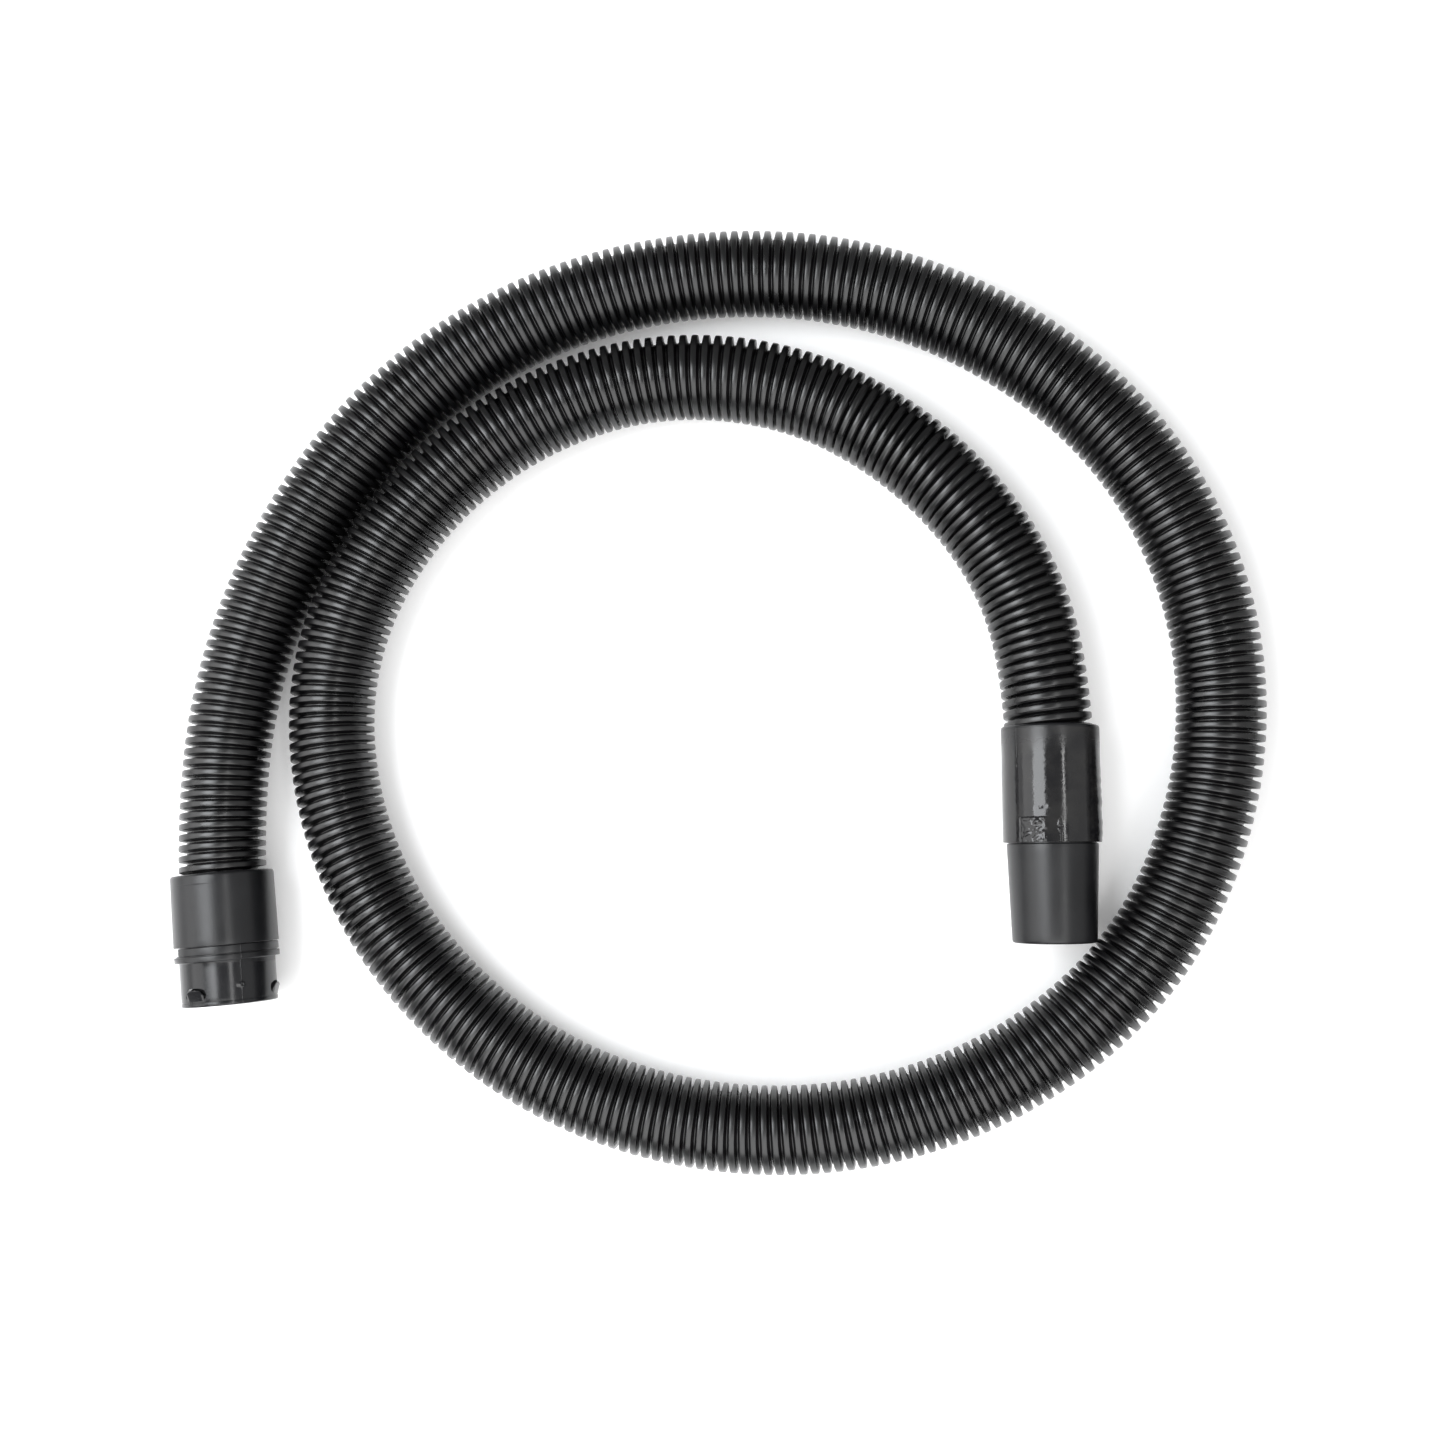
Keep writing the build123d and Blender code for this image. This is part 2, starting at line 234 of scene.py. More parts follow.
def ring_material():
    """Spring steel with a drawn finish."""
    material, nodes, links = new_material("ring_steel")
    shader = nodes["Principled BSDF"]
    lines = add_noise(nodes, links, scale=700, detail=2, stretch=(1, 6, 1))
    colour = add_ramp(nodes, links, lines, dark=(0.42, 0.42, 0.43), light=(0.62, 0.62, 0.63))
    links.new(colour, shader.inputs["Base Color"])
    links.new(add_range(nodes, links, lines, low=0.25, high=0.4), shader.inputs["Roughness"])
    shader.inputs["Metallic"].default_value = 1.0
    return material


def seal_material():
    """Matte black rubber."""
    material, nodes, links = new_material("seal_rubber")
    shader = nodes["Principled BSDF"]
    grain = add_noise(nodes, links, scale=1200, detail=3)
    colour = add_ramp(nodes, links, grain, dark=(0.014, 0.014, 0.014), light=(0.024, 0.024, 0.024))
    links.new(colour, shader.inputs["Base Color"])
    links.new(add_bump(nodes, links, grain, strength=0.4, distance=0.0001), shader.inputs["Normal"])
    shader.inputs["Roughness"].default_value = 0.75
    return material


def floor_material():
    """A clean white floor with a painted glow that washes out its shadows, and painted shade where two
    turns of hose close it in.
    """
    reach = 0.08                # how far the floor looks round itself, in metres
    shut, open_air = 0.02, 0.12  # how open it has to be for no glow, and for all of it
    # painted light: the floor glows, though it is no lamp, to lift its shadows
    full_painted_glow = 0.22
    material, nodes, links = new_material("studio_floor")
    shader = nodes["Principled BSDF"]
    patches = add_noise(nodes, links, scale=3, detail=3)
    colour = add_ramp(nodes, links, patches, dark=(0.86, 0.86, 0.86), light=(0.89, 0.89, 0.89))
    links.new(colour, shader.inputs["Base Color"])
    shader.inputs["Roughness"].default_value = 0.9
    shader.inputs["Specular IOR Level"].default_value = 0.1
    shader.inputs["Emission Color"].default_value = (1, 1, 1, 1)
    # painted shade: the glow fades out where the hose closes the floor in, between its turns
    openness = nodes.new("ShaderNodeAmbientOcclusion")
    openness.inputs["Distance"].default_value = reach
    painted_glow = nodes.new("ShaderNodeMapRange")
    painted_glow.interpolation_type = "SMOOTHSTEP"
    painted_glow.inputs["From Min"].default_value = shut
    painted_glow.inputs["From Max"].default_value = open_air
    painted_glow.inputs["To Min"].default_value = 0.0
    painted_glow.inputs["To Max"].default_value = full_painted_glow
    links.new(openness.outputs["AO"], painted_glow.inputs["Value"])
    links.new(painted_glow.outputs["Result"], shader.inputs["Emission Strength"])
    return material


FLANGE_END_Y = -0.0507          # about where the glossier spigot meets the flange, in metres

HOSE_PLASTIC = hose_material()
SLEEVE_PLASTIC = cuff_material("sleeve_plastic", smoothest=0.28, roughest=0.34)
CONNECTOR_PLASTIC = cuff_material(
    "connector_plastic", smoothest=0.16, roughest=0.21, matt_from=FLANGE_END_Y
)
NOZZLE_PLASTIC = cuff_material("nozzle_plastic", smoothest=0.32, roughest=0.38)
TAPE_FILM = tape_material()
RING_STEEL = ring_material()
SEAL_RUBBER = seal_material()


# ---- mesh helpers ----

CREASE_ANGLE = 35               # edges that turn by more than this are drawn sharp
ROUND_STEPS = 128               # of a turned body
ARC_STEPS = 4                   # of a rounded corner


def make_object(name, points, faces, material, crease=CREASE_ANGLE):
    """A mesh object from points in millimetres in the row frame, smooth but for its sharp edges."""
    mesh = bpy.data.meshes.new(name)
    mesh.vertices.add(len(points))
    mesh.vertices.foreach_set("co", (np.asarray(points, dtype=np.float64) * MM).ravel())
    faces = np.asarray(faces, dtype=np.int32)
    sides = faces.shape[1]
    mesh.loops.add(faces.size)
    mesh.loops.foreach_set("vertex_index", faces.ravel())
    mesh.polygons.add(len(faces))
    mesh.polygons.foreach_set("loop_start", np.arange(len(faces), dtype=np.int32) * sides)
    mesh.update(calc_edges=True)
    mesh.validate()
    mesh.polygons.foreach_set("use_smooth", np.ones(len(mesh.polygons), dtype=bool))
    if crease:
        mesh.set_sharp_from_angle(angle=radians(crease))
    mesh.materials.append(material)
    obj = bpy.data.objects.new(name, mesh)
    bpy.context.scene.collection.objects.link(obj)
    return obj


def rounded(corners):
    """A closed outline with arcs at its corners: each corner is (radius, station, rounding)."""
    outline = []
    count = len(corners)
    for i, (r, u, rounding) in enumerate(corners):
        corner = Vector((r, u))
        if not rounding:
            outline.append(corner)
            continue
        before = Vector(corners[i - 1][:2]) - corner
        after = Vector(corners[(i + 1) % count][:2]) - corner
        start = corner + before.normalized() * rounding
        end = corner + after.normalized() * rounding
        for step in range(ARC_STEPS + 1):
            t = step / ARC_STEPS
            outline.append(start * (1 - t) ** 2 + corner * 2 * t * (1 - t) + end * t**2)
    return outline


def refine(outline, stations, outer):
    """Adds points where a long side of the outline, outside a radius, passes the given stations."""
    shortest_side, margin = 1.0, 0.05
    result = []
    for a, b in zip(outline, outline[1:] + outline[:1]):
        result.append(a)
        if min(a.x, b.x) < outer or abs(a.y - b.y) < shortest_side:
            continue
        low, high = sorted((a.y, b.y))
        passed = [s for s in stations if low + margin < s < high - margin]
        for station in sorted(passed, reverse=a.y > b.y):
            result.append(a.lerp(b, (station - a.y) / (b.y - a.y)))
    return result


def even_angles(count):
    """Equal steps all round."""
    return [360 * i / count for i in range(count)]


def angle_between(a, b):
    """The signed turn from b to a, in degrees."""
    return (a - b + 180) % 360 - 180


def finer_angles(marks):
    """Even angles all round, with closer ones at each mark."""
    half_width, steps = 1.5, 4
    cleared = 1.5 * half_width  # even angles this near a mark make way
    angles = set(even_angles(ROUND_STEPS))
    for mark in marks:
        angles -= {a for a in angles if abs(angle_between(a, mark)) < cleared}
        angles |= {(mark + half_width * step / steps) % 360 for step in range(-steps, steps + 1)}
    return sorted(angles)


def fix_normals(obj):
    """Faces all turned outwards."""
    mesh = bmesh.new()
    mesh.from_mesh(obj.data)
    bmesh.ops.recalc_face_normals(mesh, faces=mesh.faces)
    mesh.to_mesh(obj.data)
    mesh.free()


def lathe(name, cuff, outline, material, angles=None, relief=None, crease=CREASE_ANGLE):
    """A closed body turned about the cuff's axis. relief(angle, station, radius) lifts its skin."""
    if angles is None:
        angles = even_angles(ROUND_STEPS)
    points = []
    for angle in angles:
        c, s = cos(radians(angle)), sin(radians(angle))
        for p in outline:
            r = p.x + (relief(angle, p.y, p.x) if relief else 0.0)
            points.append(cuff @ Vector((r * c, r * s, p.y)))
    rows, columns = len(angles), len(outline)
    faces = []
    for i in range(rows):
        here, there = i * columns, (i + 1) % rows * columns
        for j in range(columns):
            k = (j + 1) % columns
            faces.append((here + j, there + j, there + k, here + k))
    obj = make_object(name, points, faces, material, crease)
    fix_normals(obj)
    return obj


def bell(x, width):
    """A smooth bump of height 1."""
    return exp(-((x / width) ** 2))


def smoothstep(low, high, x):
    """0 below low, 1 above high, smooth between."""
    t = min(max((x - low) / (high - low), 0.0), 1.0)
    return t * t * (3 - 2 * t)


def finish_piece(obj, body, slot_name, *nodes):
    """The piece rides on its body and hides the CAD nodes it stands in for; slot_name is not used."""
    if nodes:
        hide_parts(*nodes)
    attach(obj, body)


# ---- the hose ----

HOSE_WALL = 0.8
INNER_SKIN_LENGTH = 260.0       # how far in from each end the inner skin goes, out of sight
SKIN_START = 1.0                # the skins stop this far from the centreline's ends
LINE_STEPS = 40                 # of the centreline between two route points

# One rib's section, in parts of the pitch from the crest's middle: the crest falls by its crown up
# to its edge, and the wall drops from there to the valley. HALF_RIB says where it is sampled.
RIB_CROWN = 0.16
CREST_EDGE = 0.25
WALL_START, WALL_WIDTH = 0.24, 0.18
HALF_RIB = [0.09, 0.2, 0.25, 0.29, 0.33, 0.37, 0.415, 0.5]
RIB_SAMPLES = np.array([-x for x in reversed(HALF_RIB)] + HALF_RIB)

# The blown wall isn't perfectly even: its ribs drift along the hose, in a long and a short wave.
LONG_DRIFT, LONG_WAVE = 0.8, 61.0
SHORT_DRIFT, SHORT_WAVE = 0.5, 23.0


def route_points():
    """The hose's route with its lead-ins, in millimetres."""
    heights = [HOSE_Z] * len(ROUTE)
    for i, rise in enumerate(MACHINE_RISE):
        heights[i] += rise
    for i, rise in enumerate(reversed(TOOL_RISE)):
        heights[-1 - i] += rise
    laid = [Vector((x, y, z)) for (x, y), z in zip(ROUTE, heights)]
    return [
        on_axis(MACHINE, MACHINE_HOSE_DEPTH),
        on_axis(MACHINE, -MACHINE_LEAD),
        *laid,
        on_axis(TOOL, -TOOL_LEAD),
        on_axis(TOOL, TOOL_HOSE_DEPTH),
    ]


def smooth_line(points):
    """Points along the NURBS spline whose control points are the route's, in millimetres."""
    curve = bpy.data.curves.new("hose_line", "CURVE")
    curve.dimensions = "3D"
    curve.resolution_u = LINE_STEPS
    spline = curve.splines.new("NURBS")
    spline.points.add(len(points) - 1)
    for knot, point in zip(spline.points, points):
        knot.co = (*(point * MM), 1)
    spline.order_u = 3
    spline.use_endpoint_u = True
    carrier = bpy.data.objects.new("hose_line", curve)
    mesh = bpy.data.meshes.new_from_object(carrier)
    line = np.array([v.co[:] for v in mesh.vertices]) / MM
    bpy.data.objects.remove(carrier)
    bpy.data.curves.remove(curve)
    bpy.data.meshes.remove(mesh)
    return line


class Centreline:
    """The hose's centreline with its length and its frame: across, and up the hose's back."""

    def __init__(self, line):
        steps = np.linalg.norm(np.diff(line, axis=0), axis=1)
        self.along = np.concatenate([[0], np.cumsum(steps)])
        self.length = self.along[-1]
        self.line = line
        self.tangent = np.gradient(line, self.along, axis=0)
        self.tangent /= np.linalg.norm(self.tangent, axis=1)[:, None]

    def at(self, s):
        """Point, sideways vector and upward vector at each length s."""
        point = np.stack([np.interp(s, self.along, self.line[:, k]) for k in range(3)], -1)
        tangent = np.stack([np.interp(s, self.along, self.tangent[:, k]) for k in range(3)], -1)
        tangent /= np.linalg.norm(tangent, axis=1)[:, None]
        side = np.cross(tangent, [0, 0, 1])
        side /= np.linalg.norm(side, axis=1)[:, None]
        return point, side, np.cross(side, tangent)


def outer_radius(phase):
    """Outside radius of the corrugated wall: phase 0 is the crest, and 0.5 the middle of the valley."""
    x = np.abs(phase)
    crown = RIB_CROWN * np.clip(x / CREST_EDGE, 0, 1) ** 2
    t = np.clip((x - WALL_START) / WALL_WIDTH, 0, 1)
    return HOSE_R - crown - (RIB_DEPTH - RIB_CROWN) * t * t * (3 - 2 * t)


def inner_radius(phase):
    """Inside radius of the corrugated wall."""
    return outer_radius(phase) - HOSE_WALL


def helical_skin(centre, start, end, radius_of, phase, around=36):
    """Points and faces of a left-hand helical skin between two lengths of the centreline."""
    across = len(phase) - 1
    turns = int((end - start) / RIB_PITCH)
    columns = turns * around + 1
    step = np.arange(columns)
    angle = 2 * pi * step / around
    s = start + RIB_PITCH * (step[:, None] / around + phase[None, :] + 0.5)
    s = s + LONG_DRIFT * np.sin(s / LONG_WAVE) + SHORT_DRIFT * np.sin(s / SHORT_WAVE + 1.0)
    s = np.clip(s, 0, centre.length)
    point, side, up = centre.at(s.ravel())
    r = np.repeat(radius_of(phase)[None, :], columns, 0).ravel()
    a = np.repeat(angle[:, None], across + 1, 1).ravel()
    points = point + r[:, None] * (np.sin(a)[:, None] * side + np.cos(a)[:, None] * up)
    grid = np.arange(columns * (across + 1)).reshape(columns, across + 1)
    # the last point of each rib is the first point of the next turn of the helix
    grid[: columns - around, -1] = grid[around:, 0]
    faces = np.stack([grid[:-1, :-1], grid[1:, :-1], grid[1:, 1:], grid[:-1, 1:]], -1)
    return points, faces.reshape(-1, 4)


def join_skins(skins):
    """One set of points and faces out of several."""
    starts = np.cumsum([0] + [len(points) for points, _ in skins])
    faces = [faces + start for (_, faces), start in zip(skins, starts)]
    return np.concatenate([points for points, _ in skins]), np.concatenate(faces)


def build_hose():
    """The corrugated hose: its outer skin all the way, and its inner skin as far as one can see in."""
    line = smooth_line(route_points())
    centre = Centreline(line)
    first, last = SKIN_START, centre.length - SKIN_START
    skins = [helical_skin(centre, first, last, outer_radius, RIB_SAMPLES)]
    seen_inside = [(first, INNER_SKIN_LENGTH), (centre.length - INNER_SKIN_LENGTH, last)]
    for start, end in seen_inside:
        points, faces = helical_skin(centre, start, end, inner_radius, RIB_SAMPLES[::2])
        skins.append((points, faces[:, ::-1]))
    points, faces = join_skins(skins)
    hose = make_object("hose_corrugated", points, faces, HOSE_PLASTIC, crease=None)
    finish_piece(hose, "hose_body", "hose_plastic", "corrugated_hose")


build_hose()

# ---- machine-end sleeve ----

MACHINE_DRAFT = 0.4             # the sleeve is this much smaller in radius at its entry
MACHINE_STOP = MACHINE_HOSE_DEPTH + STOP_THICKNESS
MACHINE_GROOVE_R = 26.6         # the retaining ring's groove in the sleeve
MACHINE_GROOVE_START, MACHINE_GROOVE_END = 31.0, 33.0
SLEEVE_SKIN_R = 27.5            # what lies outside this radius is the outer side

MOULD_LINE_STATION = 5.6        # a faint line across the upper side
MOULD_LINE_ENDS = (-5, 36)
MOULD_LINE_HEIGHT = 0.12
MOULD_LINE_WIDTH = 0.2


def mould_line(angle, station, radius):
    """How far the faint moulded line stands out of the sleeve."""
    low, high = MOULD_LINE_ENDS
    if radius < SLEEVE_SKIN_R or not low < angle_between(angle, 0) < high:
        return 0.0
    return MOULD_LINE_HEIGHT * bell(station - MOULD_LINE_STATION, MOULD_LINE_WIDTH)


def build_machine_sleeve():
    """The fixed sleeve, with a faint moulded line on its upper side near the entry."""
    corners = [
        (HOSE_SOCKET_R, 0, 0.6),
        (MACHINE_SLEEVE_R - MACHINE_DRAFT, 0, 1.7),
        (MACHINE_SLEEVE_R, MACHINE_SLEEVE_LENGTH, 0.4),
        (MACHINE_SOCKET_R, MACHINE_SLEEVE_LENGTH, 0.2),
        (MACHINE_SOCKET_R, MACHINE_GROOVE_END, 0),
        (MACHINE_GROOVE_R, MACHINE_GROOVE_END, 0),
        (MACHINE_GROOVE_R, MACHINE_GROOVE_START, 0),
        (MACHINE_SOCKET_R, MACHINE_GROOVE_START, 0),
        (MACHINE_SOCKET_R, MACHINE_STOP, 0),
        (STOP_BORE_R, MACHINE_STOP, 0.3),
        (STOP_BORE_R, MACHINE_HOSE_DEPTH, 0.3),
        (HOSE_SOCKET_R, MACHINE_HOSE_DEPTH, 0),
    ]
    line_stations = [MOULD_LINE_STATION + step for step in (-0.7, -0.3, -0.1, 0.1, 0.3, 0.7)]
    outline = refine(rounded(corners), line_stations + list(range(8, 40, 4)), SLEEVE_SKIN_R)
    sleeve = lathe("machine_sleeve_shell", MACHINE, outline, SLEEVE_PLASTIC, relief=mould_line)
    finish_piece(sleeve, "hose_body", "cuff_plastic", "machine_sleeve")


build_machine_sleeve()

# ---- machine-end connector ----

NECK_R = 25.15
NECK_BORE_R = 21.4
NECK_START = 28.2
NECK_GROOVE_R = 23.85           # the retaining ring's groove in the neck
NECK_GROOVE_START, NECK_GROOVE_END = 31.1, 32.9
COLLAR_R = 28.1
COLLAR_START, COLLAR_END = 40.4, 44.6
COLLAR_GROOVE_R = 27.2          # between the collar and the flange
FLANGE_START, FLANGE_END = 45.2, 48.4
BORE_HALF_STEP = 2.0            # half the length of the cone between the neck's bore and the spigot's
SPIGOT_R = 26.0
SPIGOT_BORE_R = 23.4
BEAD_R = 26.1
BEAD_START = 70.6
BEAD_GROOVE_R = 25.6
BEAD_GROOVE_START = 70.1
CONNECTOR_SKIN_R = 25.9         # what lies outside this radius is the outer side

NOTCH_START, NOTCH_END = 43.0, 89.0
NOTCH_FLOOR_R = 25.45

PARTING_ANGLES = [-36.5, 143.5]
PARTING_HEIGHT = 0.13
PARTING_WIDTH = 0.55            # in degrees

GATE_STATION = 62.3             # the gate mark is a small ring on the first parting line
GATE_R = 1.0
GATE_HEIGHT = 0.55
GATE_WIDTH = 0.45
SPIGOT_MM_PER_DEGREE = 0.45

WINDOW_START, WINDOW_END = 62.3, 69.5
WINDOW_HALF_WIDTH = 7.5
WINDOW_CUT_RADII = (19.0, 30.0)
WINDOW_STEPS = 32
WINDOW_SQUARENESS = 0.75        # 1 makes the window an ellipse, and less makes it squarer

FINGER_ANGLES = [24, 144, 264]
FINGER_HALF_SPAN = 13.5
FINGER_STEPS = 12
FINGER_SIDE_R = 26.4            # the free end's height at its two sides
FINGER_CROWN = 1.0              # and how much higher it is between them
FINGER_FREE_END = WINDOW_START + 1.0
FINGER_END_ROUND = 3.0          # how far the free end's two corners are drawn back
FINGER_ROOT = 70.1
FINGER_ROOT_R = 25.8
FINGER_INNER_R = 23.45
FINGER_UNDER_R = 24.7           # underside of the free end
FINGER_SLOPE_END = 67.6         # where the underside comes down to the bore


def connector_relief(angle, station, radius):
    """The notch in the collar, the two parting lines and the gate mark."""
    in_collar = COLLAR_START - 0.1 < station < COLLAR_END - 0.05
    if in_collar and NOTCH_START < angle < NOTCH_END and radius > NOTCH_FLOOR_R:
        return NOTCH_FLOOR_R - radius
    if radius < CONNECTOR_SKIN_R or station < MACHINE_SLEEVE_LENGTH:
        return 0.0
    turned = [angle_between(angle, a) for a in PARTING_ANGLES]
    ridge = PARTING_HEIGHT * sum(bell(t, PARTING_WIDTH) for t in turned)
    sideways = turned[0] * SPIGOT_MM_PER_DEGREE
    if abs(sideways) > 4 * GATE_R:
        return ridge
    out = (sideways ** 2 + (station - GATE_STATION) ** 2) ** 0.5
    return ridge + GATE_HEIGHT * bell(out - GATE_R, GATE_WIDTH)


def window_cutter(angle):
    """A prism through the spigot's wall, between an ellipse and a rectangle in outline."""
    turn = MACHINE @ Matrix.Rotation(radians(angle), 4, "Z")
    middle = (WINDOW_START + WINDOW_END) / 2
    half_length = (WINDOW_END - WINDOW_START) / 2
    ring = []
    for step in range(WINDOW_STEPS):
        a = 2 * pi * step / WINDOW_STEPS
        across = WINDOW_HALF_WIDTH * np.sign(cos(a)) * abs(cos(a)) ** WINDOW_SQUARENESS
        along = half_length * np.sign(sin(a)) * abs(sin(a)) ** WINDOW_SQUARENESS
        ring.append((across, middle + along))
    points = [turn @ Vector((r, t, u)) * MM for r in WINDOW_CUT_RADII for t, u in ring]
    count = WINDOW_STEPS
    sides = [(i, (i + 1) % count, count + (i + 1) % count, count + i) for i in range(count)]
    ends = [range(count - 1, -1, -1), range(count, 2 * count)]
    mesh = bpy.data.meshes.new("window_cutter")
    mesh.from_pydata(points, [], sides + ends)
    cutter = bpy.data.objects.new("window_cutter", mesh)
    bpy.context.scene.collection.objects.link(cutter)
    fix_normals(cutter)
    return cutter


def cut_away(obj, cutter):
    """Takes the cutter's space out of the piece."""
    modifier = obj.modifiers.new("cut", "BOOLEAN")
    modifier.object = cutter
    modifier.operation = "DIFFERENCE"
    modifier.solver = "EXACT"
    graph = bpy.context.evaluated_depsgraph_get()
    mesh = bpy.data.meshes.new_from_object(obj.evaluated_get(graph))
    obj.modifiers.clear()
    obj.data = mesh
    bpy.data.objects.remove(cutter)


def finger_section(share):
    """A snap finger's section, as (radius, station): share runs from -1 to 1 across the finger."""
    drawn_back = 1 - (1 - min(abs(share), 0.999) ** 2) ** 0.5
    free = FINGER_FREE_END + FINGER_END_ROUND * drawn_back
    top = FINGER_SIDE_R + FINGER_CROWN * (1 - share ** 12)
    return [
        (FINGER_INNER_R, FINGER_ROOT),
        (FINGER_ROOT_R, FINGER_ROOT),
        (top - 0.2, free + 1.0),
        (top, free + 0.45),
        (top - 0.2, free),
        (FINGER_UNDER_R, free),
        (FINGER_UNDER_R - 0.3, free + 0.4),
        (FINGER_INNER_R, FINGER_SLOPE_END),
    ]


def snap_finger(angle):
    """A tongue rooted at the window's mouth side: its free end is rounded and stands proud."""
    points = []
    for i in range(FINGER_STEPS + 1):
        share = 2 * i / FINGER_STEPS - 1
        a = radians(angle + share * FINGER_HALF_SPAN)
        section = finger_section(share)
        points += [MACHINE @ Vector((r * cos(a), r * sin(a), u)) for r, u in section]
    count = len(section)
    faces = []
    for i in range(FINGER_STEPS):
        here, there = i * count, (i + 1) * count
        for j in range(count):
            k = (j + 1) % count
            faces.append((here + j, here + k, there + k, there + j))
    last = FINGER_STEPS * count
    return points, faces + [tuple(range(count)), tuple(range(last, last + count))]


def add_snap_fingers(connector):
    """The fingers, in the connector's own mesh."""
    mesh = bmesh.new()
    mesh.from_mesh(connector.data)
    for angle in FINGER_ANGLES:
        points, faces = snap_finger(angle)
        vertices = [mesh.verts.new(p * MM) for p in points]
        for face in faces:
            mesh.faces.new([vertices[i] for i in face])
    bmesh.ops.recalc_face_normals(mesh, faces=mesh.faces)
    for face in mesh.faces:
        face.smooth = True
    mesh.to_mesh(connector.data)
    mesh.free()
    connector.data.set_sharp_from_angle(angle=radians(CREASE_ANGLE))


def build_machine_connector():
    """The turning connector: neck, notched collar, flange, and spigot with windows and snap fingers."""
    corners = [
        (NECK_BORE_R, NECK_START, 0.2),
        (NECK_R, NECK_START, 0.2),
        (NECK_R, NECK_GROOVE_START, 0),
        (NECK_GROOVE_R, NECK_GROOVE_START, 0),
        (NECK_GROOVE_R, NECK_GROOVE_END, 0),
        (NECK_R, NECK_GROOVE_END, 0),
        (NECK_R, COLLAR_START, 0),
        (COLLAR_R, COLLAR_START, 0.35),
        (COLLAR_R, COLLAR_END, 0.35),
        (COLLAR_GROOVE_R, COLLAR_END, 0.1),
        (COLLAR_GROOVE_R, FLANGE_START, 0.1),
        (MACHINE_SLEEVE_R, FLANGE_START, 0.4),
        (MACHINE_SLEEVE_R, FLANGE_END, 0.5),
        (SPIGOT_R, FLANGE_END, 0.5),
        (SPIGOT_R, BEAD_GROOVE_START, 0.12),
        (BEAD_GROOVE_R, BEAD_GROOVE_START, 0.1),
        (BEAD_GROOVE_R, BEAD_START, 0.1),
        (BEAD_R, BEAD_START, 0.15),
        (BEAD_R, MACHINE_LENGTH, 0.9),
        (SPIGOT_BORE_R, MACHINE_LENGTH, 0.8),
        (SPIGOT_BORE_R, COLLAR_END + BORE_HALF_STEP, 0.8),
        (NECK_BORE_R, COLLAR_END - BORE_HALF_STEP, 0.8),
    ]
    gate_stations = [GATE_STATION + 0.4 * step for step in range(-5, 6)]
    outline = refine(rounded(corners), gate_stations + [52, 56, 59, 66, 68], CONNECTOR_SKIN_R)
    notch_edges = {edge + side for edge in (NOTCH_START, NOTCH_END) for side in (-0.05, 0.05)}
    angles = sorted(notch_edges | set(finer_angles(PARTING_ANGLES)))
    connector = lathe(
        "machine_connector_body", MACHINE, outline, CONNECTOR_PLASTIC, angles, connector_relief
    )
    for angle in FINGER_ANGLES:
        cut_away(connector, window_cutter(angle))
    add_snap_fingers(connector)
    finish_piece(connector, "machine_end", "cuff_plastic", "machine_connector")


build_machine_connector()

# ---- tool-end sleeve ----

TOOL_STOP = TOOL_HOSE_DEPTH + STOP_THICKNESS
TOOL_GROOVE_R = 24.7            # the retaining ring's groove in the sleeve
TOOL_GROOVE_START, TOOL_GROOVE_END = 46.2, 48.2
LIP_END = 2.0                   # the tape runs from here to the sleeve's end
TAPE_SEAT_R = 26.15


def build_tool_sleeve():
    """The fixed sleeve: a lip at its entry, and a little smaller beyond it, under the tape."""
    corners = [
        (HOSE_SOCKET_R, 0, 0.5),
        (TOOL_SLEEVE_R, 0, 1.6),
        (TOOL_SLEEVE_R, LIP_END, 0.1),
        (TAPE_SEAT_R, LIP_END, 0),
        (TAPE_SEAT_R, TOOL_SLEEVE_LENGTH, 0.2),
        (TOOL_SOCKET_R, TOOL_SLEEVE_LENGTH, 0.3),
        (TOOL_SOCKET_R, TOOL_GROOVE_END, 0),
        (TOOL_GROOVE_R, TOOL_GROOVE_END, 0),
        (TOOL_GROOVE_R, TOOL_GROOVE_START, 0),
        (TOOL_SOCKET_R, TOOL_GROOVE_START, 0),
        (TOOL_SOCKET_R, TOOL_STOP, 0),
        (STOP_BORE_R, TOOL_STOP, 0.2),
        (STOP_BORE_R, TOOL_HOSE_DEPTH, 0.2),
        (HOSE_SOCKET_R, TOOL_HOSE_DEPTH, 0),
    ]
    sleeve = lathe("tool_sleeve_shell", TOOL, rounded(corners), SLEEVE_PLASTIC)
    finish_piece(sleeve, "hose_body", "cuff_plastic", "tool_sleeve")


build_tool_sleeve()

# ---- tape ----

TAPE_START, TAPE_END = 2.1, 62.9
TAPE_INNER_R, TAPE_OUTER_R = 26.16, 26.36
TAPE_NOISE_R = 26.3             # the radius at which the noise is laid over the film
TAPE_MM_PER_DEGREE = 0.46
TAPE_ROWS = 126                 # along the cuff
TAPE_COLUMNS = 320              # round it

FREE_END = 49.0                 # where the tape's free end lies, over the turn below it
FREE_END_STEP = 0.1             # half the width of its edge
OVERLAP_END = 100.0
OVERLAP_HEIGHT = 0.22

SLACK_MIDDLE = -88              # the slack is on the side towards +X
SLACK_WIDTH = 24

CRUMPLE_HEIGHT = 0.24
WRINKLE_HEIGHT = 0.7
FACET_MIDDLE = 5.5
FACET_HALF_WIDTH = 8.5
FACET_DEPTH = 0.22

BUBBLES = [(8.7, 44.6, 0.9), (4.4, 44.6, 0.8), (6.4, 36.5, 0.5)]  # across, station, size
BUBBLE_HEIGHT = 0.2

BACK_START, BACK_END = 120, 150  # the film grows smooth between these, towards the underside


